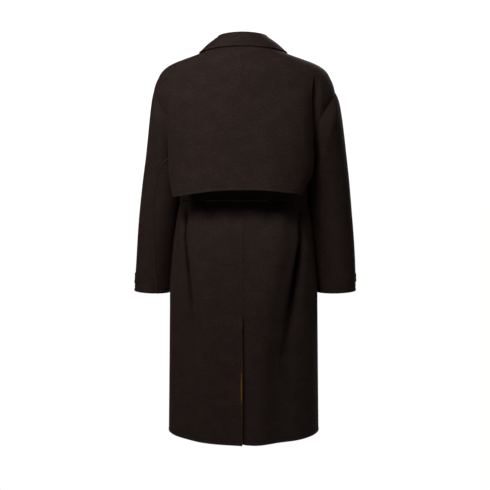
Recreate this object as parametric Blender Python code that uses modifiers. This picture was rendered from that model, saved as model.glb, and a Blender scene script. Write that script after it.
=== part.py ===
"""Reversible trench coat of double-faced wool, in its worn form, hollow and open at neck, cuffs and hem.

Metres, +Z up. The back faces +Y, the front -Y, and +X is the wearer's left.
The origin lies between the shoulders, level with the point where the shoulder seams meet the neck.
Each object is one piece as it is cut and sewn, and each is a wall bent through the sections below.
"""

import math
from collections import namedtuple

import bmesh
import bpy
from mathutils import Vector

# Cloth and sewing
CLOTH = 0.0025
SEAM = 0.0003
INNER_CUT_BACK = 0.003
NORMAL_STEP = 0.0008

# Closing of the fronts: the wearer's right laps over the left by this much past the centre
OVERLAP = 0.05
LAP_LIFT = CLOTH + 0.0015
LAP_RISE = 0.045
LAP_FLAT = 0.015

# The coat sways a little on the wearer: how far each height lies towards the wearer's left
Sway = namedtuple("Sway", "z x")
SWAY = (
    Sway(0.040, 0.0045),
    Sway(-0.020, 0.0025),
    Sway(-0.060, 0.0000),
    Sway(-0.300, 0.0000),
    Sway(-0.450, 0.0018),
    Sway(-1.050, 0.0018),
)

# Centre back: the seam hangs a little to the wearer's left, and the vent's left edge lies over the right one
CENTRE_SEAM = 0.0035
VENT_TOP = -0.7015
VENT_UNDERLAP = 0.02
VENT_EDGE_LIFT = 0.0025
VENT_EDGE_SINK = 0.0045
VENT_BLEND = 0.035

# Armhole: how far it cuts into the body at its middle, as a share of the body's half width
ARMHOLE_TOP = 8
ARMHOLE_FOOT = 10
ARMHOLE_CUT = 0.125
ARMHOLE_STEPS = 8

# Collar
COLLAR_END = math.radians(168)
COLLAR_ROLL = 0.004
COLLAR_LEAF_BULGE = 0.002
COLLAR_REST = 0.0075

# Belt and its knot
BELT_TOP_ROW = 12
BELT_FOOT_ROW = 13
BELT_GAP = 0.006
BELT_REST = 0.0007
KNOT_WIDTH = 0.046
KNOT_HEIGHT = 0.054
KNOT_DEPTH = 0.022
KNOT_ROUND = 0.008
TAIL_WIDTH = 0.048
TAIL_REST = LAP_LIFT + 0.004
TAIL_ON_TAIL = CLOTH + 0.0015

# The belt's loose ends: where each starts and ends beside the centre front, and the body row it hangs down to
Tail = namedtuple("Tail", "hand top_x foot_x foot_row rest")
TAILS = (
    Tail("left", 0.006, 0.046, 19.7, TAIL_REST),
    Tail("right", -0.006, -0.036, 20.0, TAIL_REST + TAIL_ON_TAIL),
)

# Outline of the body, from the neck seam down to the hem. Each row gives the outer point at the side,
# at the centre back and at the centre front, and how many steps of wall reach to the next row.
Section = namedtuple("Section", "side_x side_z back_y back_z front_y front_z steps")
BODY = (
    Section(0.0845, -0.0035, 0.0680, 0.0065, 0.0880, -0.0655, 2),
    Section(0.1200, -0.0185, 0.0820, -0.0070, 0.0990, -0.0830, 1),
    Section(0.1555, -0.0310, 0.0945, -0.0265, 0.1080, -0.1025, 1),
    Section(0.1870, -0.0430, 0.1040, -0.0480, 0.1150, -0.1220, 1),
    Section(0.2075, -0.0545, 0.1110, -0.0675, 0.1200, -0.1385, 1),
    Section(0.2200, -0.0650, 0.1165, -0.0880, 0.1235, -0.1530, 1),
    Section(0.2300, -0.0800, 0.1205, -0.1085, 0.1260, -0.1660, 1),
    Section(0.2395, -0.0960, 0.1240, -0.1290, 0.1280, -0.1785, 1),
    Section(0.2455, -0.1140, 0.1265, -0.1485, 0.1300, -0.1925, 1),
    Section(0.2220, -0.2025, 0.1305, -0.2170, 0.1335, -0.2415, 1),
    Section(0.1885, -0.2910, 0.1290, -0.2910, 0.1340, -0.2910, 1),
    Section(0.1820, -0.3305, 0.1125, -0.3305, 0.1260, -0.3305, 1),
    Section(0.1715, -0.3575, 0.0900, -0.3575, 0.1120, -0.3575, 1),
    Section(0.1720, -0.4070, 0.0900, -0.4070, 0.1120, -0.4070, 2),
    Section(0.1795, -0.4400, 0.1010, -0.4400, 0.1210, -0.4400, 2),
    Section(0.1895, -0.5000, 0.1265, -0.5000, 0.1340, -0.5000, 2),
    Section(0.1975, -0.5805, 0.1435, -0.5805, 0.1440, -0.5805, 2),
    Section(0.2035, -0.6610, 0.1500, -0.6610, 0.1475, -0.6610, 1),
    Section(0.2040, -0.7015, 0.1505, -0.7015, 0.1480, -0.7015, 1),
    Section(0.2045, -0.7370, 0.1510, -0.7370, 0.1485, -0.7370, 2),
    Section(0.2060, -0.8545, 0.1520, -0.8550, 0.1490, -0.8540, 3),
    Section(0.2090, -1.0460, 0.1530, -1.0495, 0.1500, -1.0450, 0),
)

# The storm flap hangs from the neck and shoulder seams and stands off the waist. Its first rows lie on the
# body; edge_left and edge_right are how far the flap reaches to each side, as shares of its half width.
FlapSection = namedtuple("FlapSection", Section._fields + ("edge_left", "edge_right"))
FLAP_ON_BODY = (
    (2, 1.000, 1.000),
    (1, 1.000, 1.000),
    (1, 1.000, 1.000),
    (3, 1.000, 1.000),
    (2, 0.974, 0.950),
    (1, 0.912, 0.870),
    (1, 0.869, 0.818),
    (1, 0.835, 0.774),
    (2, 0.815, 0.751),
)
FLAP = tuple(FlapSection(*row[:-1], *reach) for row, reach in zip(BODY, FLAP_ON_BODY)) + (
    FlapSection(0.2375, -0.1925, 0.1375, -0.2070, 0.1335, -0.2400, 2, 0.836, 0.769),
    FlapSection(0.2330, -0.2615, 0.1450, -0.2615, 0.1340, -0.2900, 2, 0.854, 0.785),
    FlapSection(0.2315, -0.3255, 0.1530, -0.3105, 0.1340, -0.3300, 1, 0.853, 0.783),
    FlapSection(0.2315, -0.3750, 0.1605, -0.3525, 0.1340, -0.3800, 1, 0.826, 0.714),
    FlapSection(0.2310, -0.4080, 0.1655, -0.3770, 0.1340, -0.4080, 0, 0.800, 0.655),
)
FLAP_TOP = 0.5
FLAP_REST = 0.0015
FLAP_COLUMNS = 26

# The belt draws the skirt into one deep fold on each side of the back. Each row gives how far the fold's
# crest is from the centre back and how deep the cloth drops behind it, on each side, and the valley's width.
Fold = namedtuple("Fold", "z left_crest left_depth right_crest right_depth width")
FOLDS = (
    Fold(-0.4070, 0.1445, 0.000, 0.1370, 0.000, 0.012),
    Fold(-0.4400, 0.1455, 0.007, 0.1380, 0.013, 0.012),
    Fold(-0.5100, 0.1470, 0.012, 0.1385, 0.021, 0.013),
    Fold(-0.6005, 0.1355, 0.012, 0.1195, 0.021, 0.014),
    Fold(-0.6915, 0.1235, 0.008, 0.1045, 0.016, 0.016),
    Fold(-0.7835, 0.1090, 0.003, 0.0960, 0.008, 0.020),
    Fold(-0.8860, 0.1010, 0.000, 0.0910, 0.000, 0.022),
    Fold(-1.0465, 0.0965, 0.000, 0.0915, 0.000, 0.022),
)
CREST_COLUMNS = 8
VALLEY_COLUMNS = 6
FRONT_COLUMNS = 11

# Sleeve, from the armhole to the cuff. Each ring gives the outer point of the left and the right sleeve,
# the inner point next to the body, the reach to the back and front of middle_y, and where the back seam lies
# on each sleeve, in degrees from the outer point.
Ring = namedtuple("Ring", "left_x right_x outer_z inner_x inner_z back front middle_y left_seam right_seam")
SLEEVE = (
    Ring(0.2455, 0.2455, -0.1140, 0.1885, -0.2910, 0.064, 0.066, 0.000, 135, 135),
    Ring(0.2510, 0.2570, -0.1395, 0.1915, -0.3130, 0.067, 0.070, -0.002, 133, 136),
    Ring(0.2575, 0.2665, -0.1825, 0.1835, -0.3355, 0.071, 0.075, -0.011, 126, 133),
    Ring(0.2645, 0.2750, -0.2365, 0.1755, -0.3605, 0.073, 0.077, -0.022, 107, 121),
    Ring(0.2715, 0.2825, -0.2910, 0.1740, -0.3850, 0.073, 0.077, -0.030, 85, 107),
    Ring(0.2800, 0.2910, -0.3525, 0.1740, -0.4200, 0.071, 0.075, -0.036, 77, 106),
    Ring(0.2875, 0.2985, -0.4200, 0.1815, -0.4650, 0.068, 0.072, -0.040, 80, 110),
    Ring(0.2950, 0.3065, -0.5000, 0.1910, -0.5250, 0.064, 0.068, -0.044, 89, 120),
    Ring(0.3010, 0.3125, -0.5800, 0.1980, -0.5930, 0.061, 0.064, -0.049, 100, 132),
    Ring(0.3075, 0.3155, -0.6605, 0.2040, -0.6645, 0.059, 0.061, -0.054, 112, 149),
)
SLEEVE_STEPS = 2
SLEEVE_START = 0.02
FRONT_SEAM = -112.5
UPPER_COLUMNS = 11
UNDER_COLUMNS = 5

# Cuff strap, from the sleeve's front seam round the outside to a tip, in degrees from the outer point.
# The wearer's left strap is drawn tight, so its tip shows at the back.
STRAP_TOP = 8.36
STRAP_FOOT = 8.66
STRAP_TIP_LEFT = 47
STRAP_TIP_RIGHT = 10
STRAP_TAPER = 0.35
STRAP_REST = 0.0012

# Collar rings: the neck seam is the body's first row, the roll is where stand and leaf meet
ROLL_X = 0.0660
ROLL_BACK_Y = 0.0690
ROLL_FRONT_Y = 0.0780
ROLL_BACK_Z = 0.0380
ROLL_SIDE_Z = 0.0345
ROLL_FRONT_Z = -0.0215
LEAF_EDGE = 0.92

BROWN_WOOL = (0.024, 0.0155, 0.0135, 1.0)


def smooth(share):
    """0 below 0, 1 above 1, and an even rise between them."""
    share = min(max(share, 0.0), 1.0)
    return share * share * (3 - 2 * share)


def through(share, before, first, second, after):
    """A smooth curve from first to second that heads on to the values around them."""
    bend = 2 * before - 5 * first + 4 * second - after
    twist = 3 * (first - second) + after - before
    return first + 0.5 * share * (second - before + share * (bend + share * twist))


def around(table, place):
    """The four entries round a place in a table, and the share between the middle two."""
    last = len(table) - 1
    start = min(max(math.floor(place), 0), last - 1)
    near = [table[min(max(start + step, 0), last)] for step in (-1, 0, 1, 2)]
    return place - start, near


def row_at(table, place):
    """A table's row at a place between two of its rows."""
    share, near = around(table, place)
    return type(near[1])(*(through(share, *values) for values in zip(*near)))


def row_at_height(table, z):
    """A table's row at a height, straight between the rows above and below it."""
    for upper, lower in zip(table, table[1:]):
        if z >= lower.z:
            break
    share = min(max((upper.z - z) / (upper.z - lower.z), 0.0), 1.0)
    return type(upper)(*(a + (b - a) * share for a, b in zip(upper, lower)))


def places_of(table, first=0.0):
    """The places of a wall's rows: each section, and the steps it asks for before the next."""
    places = [first]
    for index, row in enumerate(table[:-1]):
        steps = [index + (step + 1) / row.steps for step in range(row.steps)]
        places += [place for place in steps if place > first + 0.1]
    return places


def body_places():
    """The places of the body's rows. At the armhole they meet the columns of the sleeve."""
    half = (ARMHOLE_FOOT - ARMHOLE_TOP) / 2
    turns = [math.pi * step / ARMHOLE_STEPS for step in range(ARMHOLE_STEPS + 1)]
    armhole = [ARMHOLE_TOP + half * (1 - math.cos(turn)) for turn in turns]
    others = [place for place in places_of(BODY) if not ARMHOLE_TOP <= place <= ARMHOLE_FOOT]
    return sorted(others + armhole)


def between(values, share):
    """The value at a share of the way along a list, also a little past its ends."""
    place = share * (len(values) - 1)
    start = min(max(math.floor(place), 0), len(values) - 2)
    return values[start] + (values[start + 1] - values[start]) * (place - start)


def shell(table, place, angle):
    """An outer point of a body form. The angle runs from the centre back towards the wearer's left."""
    row = row_at(table, place)
    sine, cosine = math.sin(angle), math.cos(angle)
    depth, level = (row.back_y, row.back_z) if cosine > 0 else (row.front_y, row.front_z)
    z = row.side_z + (level - row.side_z) * cosine**2
    return Vector((row.side_x * sine, depth * cosine, z))


def angle_of(row, x):
    """The angle from the centre line at which a row reaches out to x, negative past the centre."""
    return math.asin(min(max(x / row.side_x, -1.0), 1.0))


def normal_of(surface, across, along):
    """The outward direction of a surface whose across and along turn outwards by the right-hand rule."""
    sideways = surface(across + NORMAL_STEP, along) - surface(across - NORMAL_STEP, along)
    lengthways = surface(across, along + NORMAL_STEP) - surface(across, along - NORMAL_STEP)
    return sideways.cross(lengthways).normalized()


def shell_normal(table, place, angle):
    """The outward direction of a body form. Places run down, so up is the way back along them."""
    return normal_of(lambda turn, up: shell(table, -up, -turn), -angle, -place)


def moved_out(table, place, angle, distance):
    """A point that lies on a body form, at a distance outside it."""
    return shell(table, place, angle) + shell_normal(table, place, angle) * distance


def cloth(name, surface, columns, rows):
    """One cut piece: a flat slab of cells whose corners are moved to the cloth's outer and inner faces."""
    mesh = bmesh.new()
    bmesh.ops.create_grid(mesh, x_segments=columns, y_segments=rows, size=0.5)
    slab = bmesh.ops.extrude_face_region(mesh, geom=mesh.faces[:] + mesh.edges[:], use_keep_orig=True)
    inner = {item for item in slab["geom"] if isinstance(item, bmesh.types.BMVert)}
    for vert in mesh.verts:
        across, along = vert.co.x + 0.5, vert.co.y + 0.5
        if vert in inner:
            across, along = (INNER_CUT_BACK + (1 - 2 * INNER_CUT_BACK) * share for share in (across, along))
            vert.co = surface(across, along) - normal_of(surface, across, along) * CLOTH
        else:
            vert.co = surface(across, along)
        vert.co.x += row_at_height(SWAY, vert.co.z).x
    bmesh.ops.recalc_face_normals(mesh, faces=mesh.faces[:])
    return placed(name, mesh)


def placed(name, mesh):
    """An object of the coat, smooth but for its cut edges."""
    data = bpy.data.meshes.new(name)
    mesh.to_mesh(data)
    mesh.free()
    data.shade_smooth()
    data.set_sharp_from_angle(angle=math.radians(40))
    data.materials.append(wool)
    piece = bpy.data.objects.new(name, data)
    coat.objects.link(piece)
    piece.parent = wearer
    return piece


def armhole_angle(place):
    """Where a body row ends: at the shoulder or side seam, or at the armhole between them."""
    row = row_at(BODY, place)
    share = (place - ARMHOLE_TOP) / (ARMHOLE_FOOT - ARMHOLE_TOP)
    if not 0 < share < 1:
        return math.pi / 2
    return angle_of(row, row.side_x * (1 - ARMHOLE_CUT * math.sin(math.pi * share)))


def seam_angle(row):
    """Half a seam's gap, as an angle."""
    return SEAM / 2 / row.side_x


def fold_drop(point, crest, side, z):
    """How far the cloth lies inside the body's form behind a fold's crest."""
    fold = row_at_height(FOLDS, z)
    depth = fold.left_depth if side > 0 else fold.right_depth
    beyond = (point - crest).length / fold.width
    return depth * beyond * math.exp(1 - beyond)


def vent_change(side, x, z):
    """How the cloth stands off the body's form beside the vent: the left edge lifts, the right one sinks."""
    opened = smooth((VENT_TOP - z) / VENT_BLEND)
    nearness = 1 - smooth(x / VENT_BLEND)
    return opened * nearness * (VENT_EDGE_LIFT if side > 0 else -VENT_EDGE_SINK)


def back_angle(side, across, place):
    """The angle of a back panel's column: even to the fold's crest, then close together in its valley."""
    row = row_at(BODY, place)
    centre = side * CENTRE_SEAM + SEAM / 2
    if side < 0:
        centre -= VENT_UNDERLAP * smooth((VENT_TOP - VENT_BLEND - row.back_z) / 0.04)
    first = angle_of(row, centre)
    fold = row_at_height(FOLDS, row.back_z)
    waisted = row if place > BELT_FOOT_ROW else BODY[BELT_FOOT_ROW]
    crest = angle_of(waisted, fold.left_crest if side > 0 else fold.right_crest)
    crest *= armhole_angle(place) / (math.pi / 2)
    last = armhole_angle(place) - seam_angle(row)
    turn = CREST_COLUMNS / (CREST_COLUMNS + VALLEY_COLUMNS)
    if across <= turn:
        return crest, crest - (crest - first) * (1 - across / turn) ** 1.4
    return crest, crest + (last - crest) * ((across - turn) / (1 - turn)) ** 1.6


def back_surface(side):
    """A back panel, from the centre back seam to the shoulder, armhole and side seams."""
    places = body_places()

    def surface(across, along):
        place = between(places, 1 - along)
        crest, angle = back_angle(side, across if side < 0 else 1 - across, place)
        point = shell(BODY, place, side * angle)
        change = vent_change(side, side * (point.x - CENTRE_SEAM), point.z)
        if angle > crest:
            change -= fold_drop(point, shell(BODY, place, side * crest), side, point.z)
        return point + shell_normal(BODY, place, side * angle) * change

    return surface, CREST_COLUMNS + VALLEY_COLUMNS, len(places) - 1


def lap_lift(x):
    """How far the right front stands out to lie over the left one."""
    return LAP_LIFT * smooth((x + OVERLAP + LAP_RISE) / (LAP_RISE - LAP_FLAT))


def front_surface(side):
    """A front panel, from the side seam round to its edge, past the centre front."""
    places = body_places()

    def surface(across, along):
        place = between(places, 1 - along)
        row = row_at(BODY, place)
        edge = math.pi + angle_of(row, OVERLAP)
        seam = math.pi - armhole_angle(place) + seam_angle(row)
        angle = seam + (edge - seam) * (across if side < 0 else 1 - across)
        if side > 0:
            return shell(BODY, place, angle)
        point = shell(BODY, place, -angle)
        return point + shell_normal(BODY, place, -angle) * lap_lift(point.x)

    return surface, FRONT_COLUMNS, len(places) - 1


def flap_surface():
    """The storm flap, from the neck and shoulder seams to its free hem over the waist."""
    places = places_of(FLAP, FLAP_TOP)

    def surface(across, along):
        place = between(places, 1 - along)
        row = row_at(FLAP, place)
        left = angle_of(row, row.side_x * min(row.edge_left, 1.0)) - seam_angle(row)
        right = angle_of(row, row.side_x * min(row.edge_right, 1.0)) - seam_angle(row)
        angle = left - (left + right) * across
        return moved_out(FLAP, place, angle, FLAP_REST + CLOTH)

    return surface, FLAP_COLUMNS, len(places) - 1


def ring_point(side, index, turn):
    """A point of a sleeve ring. The turn runs from the outer point round the back, in radians."""
    sine, cosine = math.sin(turn), math.cos(turn)
    if index == 0:
        place = ARMHOLE_TOP + (ARMHOLE_FOOT - ARMHOLE_TOP) * (1 - cosine) / 2
        angle = armhole_angle(place)
        angle = angle if sine > 0 else math.pi - angle
        point = moved_out(BODY, place, angle, SEAM)
        return Vector((side * point.x, point.y, point.z))
    ring = SLEEVE[index]
    outer_x = ring.left_x if side > 0 else ring.right_x
    x = (outer_x + ring.inner_x + cosine * (outer_x - ring.inner_x)) / 2
    y = ring.middle_y + sine * (ring.back if sine > 0 else ring.front)
    z = (ring.outer_z + ring.inner_z + cosine * (ring.outer_z - ring.inner_z)) / 2
    return Vector((side * x, y, z))


def sleeve_point(side, place, turn):
    """A point of a sleeve between two of its rings."""
    share, near = around(range(len(SLEEVE)), place)
    return through(share, *(ring_point(side, index, turn) for index in near))


def sleeve_surface(side, upper):
    """One of a sleeve's two pieces: the upper one outside, or the under one next to the body."""
    rows = SLEEVE_STEPS * (len(SLEEVE) - 1)

    def surface(across, along):
        place = len(SLEEVE) - 1 - along * (len(SLEEVE) - 1 - SLEEVE_START)
        ring = row_at(SLEEVE, place)
        gap = SEAM / 2 / ring.back
        back_seam = math.radians(ring.left_seam if side > 0 else ring.right_seam)
        front_seam = math.radians(FRONT_SEAM)
        first, last = (front_seam, back_seam) if upper else (back_seam, front_seam + 2 * math.pi)
        share = across if side > 0 else 1 - across
        return sleeve_point(side, place, first + gap + (last - first - 2 * gap) * share)

    return surface, UPPER_COLUMNS if upper else UNDER_COLUMNS, rows


def strap_surface(side):
    """A cuff strap that lies on the upper sleeve."""
    tip = STRAP_TIP_LEFT if side > 0 else STRAP_TIP_RIGHT

    def surface(across, along):
        share = across if side > 0 else 1 - across
        turn = math.radians(FRONT_SEAM + (tip - FRONT_SEAM) * share)
        point_taper = STRAP_TAPER * smooth((share - 0.85) / 0.15)
        level = 0.5 + (along - 0.5) * (1 - point_taper)
        place = STRAP_FOOT + (STRAP_TOP - STRAP_FOOT) * level

        def sleeve(turning, rising):
            return sleeve_point(side, -rising, side * turning)

        outward = normal_of(sleeve, side * turn, -place)
        return sleeve_point(side, place, turn) + outward * (STRAP_REST + CLOTH)

    return surface, 12, 1


def collar_profile(angle):
    """The collar's section at an angle: up the stand's neck side, over the roll and down the leaf."""
    sine, cosine = math.sin(angle), math.cos(angle)
    outward = Vector((sine, cosine, 0))
    upward = Vector((0, 0, 1))
    foot = shell(BODY, 0, angle) - outward * (CLOTH + 2 * SEAM) + upward * (2 * SEAM)
    roll_y, roll_z = (ROLL_BACK_Y, ROLL_BACK_Z) if cosine > 0 else (ROLL_FRONT_Y, ROLL_FRONT_Z)
    roll = Vector((ROLL_X * sine, roll_y * cosine, ROLL_SIDE_Z + (roll_z - ROLL_SIDE_Z) * cosine**2))
    edge = moved_out(BODY, LEAF_EDGE, angle, COLLAR_REST)
    stand_top = roll - (outward + upward) * COLLAR_ROLL
    leaf_top = roll + (outward - upward) * COLLAR_ROLL
    middle = (leaf_top + edge) / 2 + (outward + upward).normalized() * COLLAR_LEAF_BULGE
    return foot, (foot + stand_top) / 2, stand_top, roll, leaf_top, middle, edge


def collar_surface():
    """The collar, stand and leaf in one, from one front end round the back to the other."""

    def surface(across, along):
        profile = collar_profile(COLLAR_END * (1 - 2 * across))
        share, near = around(profile, (1 - along) * (len(profile) - 1))
        return through(share, *near)

    return surface, 26, 9


def belt_lift(x, y):
    """How far the belt stands out to pass over the closed fronts."""
    if y > 0:
        return 0.0
    return min(lap_lift(x), LAP_LIFT * (1 - smooth((x - OVERLAP - 0.004) / LAP_RISE)))


def belt_surface():
    """The belt, from one side of its knot round the waist to the other."""

    def surface(across, along):
        place = BELT_FOOT_ROW + (BELT_TOP_ROW - BELT_FOOT_ROW) * along
        gap = BELT_GAP / row_at(BODY, place).side_x
        angle = (math.pi - gap) * (1 - 2 * across)
        point = shell(BODY, place, angle)
        return moved_out(BODY, place, angle, BELT_REST + CLOTH + belt_lift(point.x, point.y))

    return surface, 60, 1


def tail_surface(tail):
    """A loose end of the belt, hanging from the knot down the front."""

    def surface(across, along):
        place = tail.foot_row + (BELT_FOOT_ROW + 0.1 - tail.foot_row) * along
        x = tail.foot_x + (tail.top_x - tail.foot_x) * along + (across - 0.5) * TAIL_WIDTH
        angle = math.pi - angle_of(row_at(BODY, place), x)
        return moved_out(BODY, place, angle, tail.rest)

    return surface, 3, 8


def knot():
    """The belt's knot at the centre front, over the belt's two ends."""
    top, foot = BODY[BELT_TOP_ROW], BODY[BELT_FOOT_ROW]
    belt_face = top.front_y + LAP_LIFT + BELT_REST + CLOTH + SEAM
    middle = (0, -belt_face - KNOT_DEPTH / 2, (top.side_z + foot.side_z) / 2)
    mesh = bmesh.new()
    bmesh.ops.create_cube(mesh, size=1.0)
    bmesh.ops.scale(mesh, vec=(KNOT_WIDTH, KNOT_DEPTH, KNOT_HEIGHT), verts=mesh.verts[:])
    bmesh.ops.translate(mesh, vec=middle, verts=mesh.verts[:])
    piece = placed("belt_knot", mesh)
    rounding = piece.modifiers.new("rounding", "BEVEL")
    rounding.width = KNOT_ROUND
    rounding.segments = 3
    return piece


for old in list(bpy.data.objects):
    bpy.data.objects.remove(old, do_unlink=True)

coat = bpy.data.collections.new("reversible_trench_coat")
bpy.context.scene.collection.children.link(coat)
wearer = bpy.data.objects.new("shoulders", None)
coat.objects.link(wearer)

wool = bpy.data.materials.new("brown_double_faced_wool")
wool.use_nodes = True
finish = wool.node_tree.nodes["Principled BSDF"]
finish.inputs["Base Color"].default_value = BROWN_WOOL
finish.inputs["Roughness"].default_value = 0.95
finish.inputs["Metallic"].default_value = 0.0

for hand, side in (("left", 1), ("right", -1)):
    cloth(f"back_{hand}", *back_surface(side))
    cloth(f"front_{hand}", *front_surface(side))
    cloth(f"sleeve_upper_{hand}", *sleeve_surface(side, True))
    cloth(f"sleeve_under_{hand}", *sleeve_surface(side, False))
    cloth(f"cuff_strap_{hand}", *strap_surface(side))
cloth("storm_flap", *flap_surface())
cloth("collar", *collar_surface())
cloth("belt", *belt_surface())
for tail in TAILS:
    cloth(f"belt_tail_{tail.hand}", *tail_surface(tail))
knot()
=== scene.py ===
"""Looks of the reversible trench coat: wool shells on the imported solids' form, floor, light and camera.

Metres, +Z up. The back faces +Y, the front -Y, and +X is the coat's left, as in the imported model.
Every piece is one grid of points on its solid's outer face, raised and sunk by its folds, creases, seams and
felled edges, with the ochre face one cloth thickness further in.
"""

import math
from collections import namedtuple

import bmesh
import bpy
import numpy as np
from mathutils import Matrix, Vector


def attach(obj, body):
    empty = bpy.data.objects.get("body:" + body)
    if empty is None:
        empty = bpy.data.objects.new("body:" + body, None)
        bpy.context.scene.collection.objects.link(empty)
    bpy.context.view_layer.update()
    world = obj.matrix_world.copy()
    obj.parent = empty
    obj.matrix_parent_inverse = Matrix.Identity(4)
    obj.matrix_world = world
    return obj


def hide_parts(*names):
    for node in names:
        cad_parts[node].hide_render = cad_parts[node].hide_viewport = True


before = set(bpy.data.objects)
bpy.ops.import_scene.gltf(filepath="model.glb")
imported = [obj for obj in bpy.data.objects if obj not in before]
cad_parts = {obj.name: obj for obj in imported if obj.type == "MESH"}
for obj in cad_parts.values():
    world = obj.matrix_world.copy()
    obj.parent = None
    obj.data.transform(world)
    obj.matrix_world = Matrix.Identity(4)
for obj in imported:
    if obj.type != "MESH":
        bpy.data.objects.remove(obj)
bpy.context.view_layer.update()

# Grid of a piece: the space between its lines, the steps that measure a run of rows, and how far from a cut
# edge the closer lines lie
GRID_STEP = 0.0040
RUN_STEPS = 600
EDGE_LINES = np.array((0.0, 0.0003, 0.0008, 0.0014, 0.0030, 0.0050, 0.0064, 0.0077, 0.0090, 0.0104, 0.0130))

# Cloth and sewing. Sewn pieces run a little past each other, so a seam's gap is below zero. A free edge is
# felled: turned in, a little thicker and caught down along a soft groove.
CLOTH = 0.0025
SEAM = -0.0004
EDGE_ROUND = 0.45 * CLOTH
SEAM_ROUND = 0.15 * CLOTH
FELL_WIDTH = 0.0078
FELL_PAD = 0.0005
FELL_FADE = 0.0030
FELL_GROOVE = 0.0008
FELL_GROOVE_WIDTH = 0.0016
NORMAL_PASSES = 14
NORMAL_STEP = 0.0008
TURN_STEP = 0.001
CENTRE_RIDGE = 0.0018
CENTRE_RIDGE_WIDTH = 0.0035

# Closing of the fronts
FRONT_WIDTH = 0.34
OVERLAP = 0.05
LAP_LIFT = CLOTH + 0.0015
LAP_RISE = 0.045
LAP_FLAT = 0.015
PLACKET_FLAT = 0.006

# How far the whole coat stands over to its left at each height
Sway = namedtuple("Sway", "z x")
SWAY = (
    Sway(0.040, 0.0045),
    Sway(-0.020, 0.0025),
    Sway(-0.060, 0.0000),
    Sway(-0.300, 0.0000),
    Sway(-0.450, 0.0018),
    Sway(-1.050, 0.0018),
)

# Centre back and vent
CENTRE_SEAM = 0.0035
VENT_TOP = -0.7015
VENT_UNDERLAP = 0.02
VENT_UNDERLAP_RISE = 0.04
VENT_EDGE_LIFT = 0.0025
VENT_EDGE_SINK = 0.0045
VENT_BLEND = 0.035
VENT_SINK_LEAD = 0.008

# The armhole: the body rows at its two ends, and how deep it cuts into the panels
ARMHOLE_TOP = 8
ARMHOLE_FOOT = 10
ARMHOLE_CUT = 0.125

# Collar: its size, the roll between stand and leaf, and how the leaf lies
COLLAR_LENGTH = 0.52
COLLAR_WIDTH = 0.12
COLLAR_STEP = 0.0022
COLLAR_END = math.radians(168)
COLLAR_ROLL = 0.004
COLLAR_LEAF_BULGE = 0.002
COLLAR_REST = 0.0075
ROLL_X = 0.0660
ROLL_BACK_Y = 0.0690
ROLL_FRONT_Y = 0.0780
ROLL_BACK_Z = 0.0380
ROLL_SIDE_Z = 0.0345
ROLL_FRONT_Z = -0.0215
LEAF_EDGE = 0.92

# Belt, with the ochre lip along its lower edge, its knot and its loose ends. The lip is coloured only over a
# middle stretch behind, as a painted highlight where light reaches it under the flap, while the real lip
# runs all along.
BELT_WIDTH = 0.050
BELT_LENGTH = 0.92
BELT_TOP_ROW = 12
BELT_FOOT_ROW = 13
BELT_GAP = 0.006
BELT_REST = 0.0007
BELT_OVER_LAP = 0.004
BELT_LIP = 0.0009
BELT_LIP_HIGHLIGHT_X = 0.018
BELT_LIP_HIGHLIGHT_REACH = 0.082
KNOT_WIDTH = 0.046
KNOT_HEIGHT = 0.054
KNOT_DEPTH = 0.022
TAIL_WIDTH = 0.048
TAIL_LENGTH = 0.46
TAIL_TOP_ROW = BELT_FOOT_ROW + 0.1
TAIL_REST = LAP_LIFT + 0.004
TAIL_ON_TAIL = CLOTH + 0.0015
TAIL_CROSSED = 0.50
TAIL_SETTLE = 0.30
Tail = namedtuple("Tail", "hand top_x foot_x foot_row lift")
TAILS = (
    Tail("left", 0.006, 0.046, 19.7, 0.0),
    Tail("right", -0.006, -0.036, 20.0, TAIL_ON_TAIL),
)

# Body sections from the neck seam to the hem: the outer point at the side, centre back and centre front
Section = namedtuple("Section", "side_x side_z back_y back_z front_y front_z")
BODY = (
    Section(0.0845, -0.0035, 0.0680, 0.0065, 0.0880, -0.0655),
    Section(0.1200, -0.0185, 0.0820, -0.0070, 0.0990, -0.0830),
    Section(0.1555, -0.0310, 0.0945, -0.0265, 0.1080, -0.1025),
    Section(0.1870, -0.0430, 0.1040, -0.0480, 0.1150, -0.1220),
    Section(0.2075, -0.0545, 0.1110, -0.0675, 0.1200, -0.1385),
    Section(0.2200, -0.0650, 0.1165, -0.0880, 0.1235, -0.1530),
    Section(0.2300, -0.0800, 0.1205, -0.1085, 0.1260, -0.1660),
    Section(0.2395, -0.0960, 0.1240, -0.1290, 0.1280, -0.1785),
    Section(0.2455, -0.1140, 0.1265, -0.1485, 0.1300, -0.1925),
    Section(0.2220, -0.2025, 0.1305, -0.2170, 0.1335, -0.2415),
    Section(0.1885, -0.2910, 0.1290, -0.2910, 0.1340, -0.2910),
    Section(0.1820, -0.3305, 0.1125, -0.3305, 0.1260, -0.3305),
    Section(0.1715, -0.3575, 0.0900, -0.3575, 0.1120, -0.3575),
    Section(0.1720, -0.4070, 0.0900, -0.4070, 0.1120, -0.4070),
    Section(0.1795, -0.4400, 0.1010, -0.4400, 0.1210, -0.4400),
    Section(0.1895, -0.5000, 0.1265, -0.5000, 0.1340, -0.5000),
    Section(0.1975, -0.5805, 0.1435, -0.5805, 0.1440, -0.5805),
    Section(0.2035, -0.6610, 0.1500, -0.6610, 0.1475, -0.6610),
    Section(0.2040, -0.7015, 0.1505, -0.7015, 0.1480, -0.7015),
    Section(0.2045, -0.7370, 0.1510, -0.7370, 0.1485, -0.7370),
    Section(0.2060, -0.8545, 0.1520, -0.8550, 0.1490, -0.8540),
    Section(0.2090, -1.0460, 0.1530, -1.0495, 0.1500, -1.0450),
)

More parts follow.
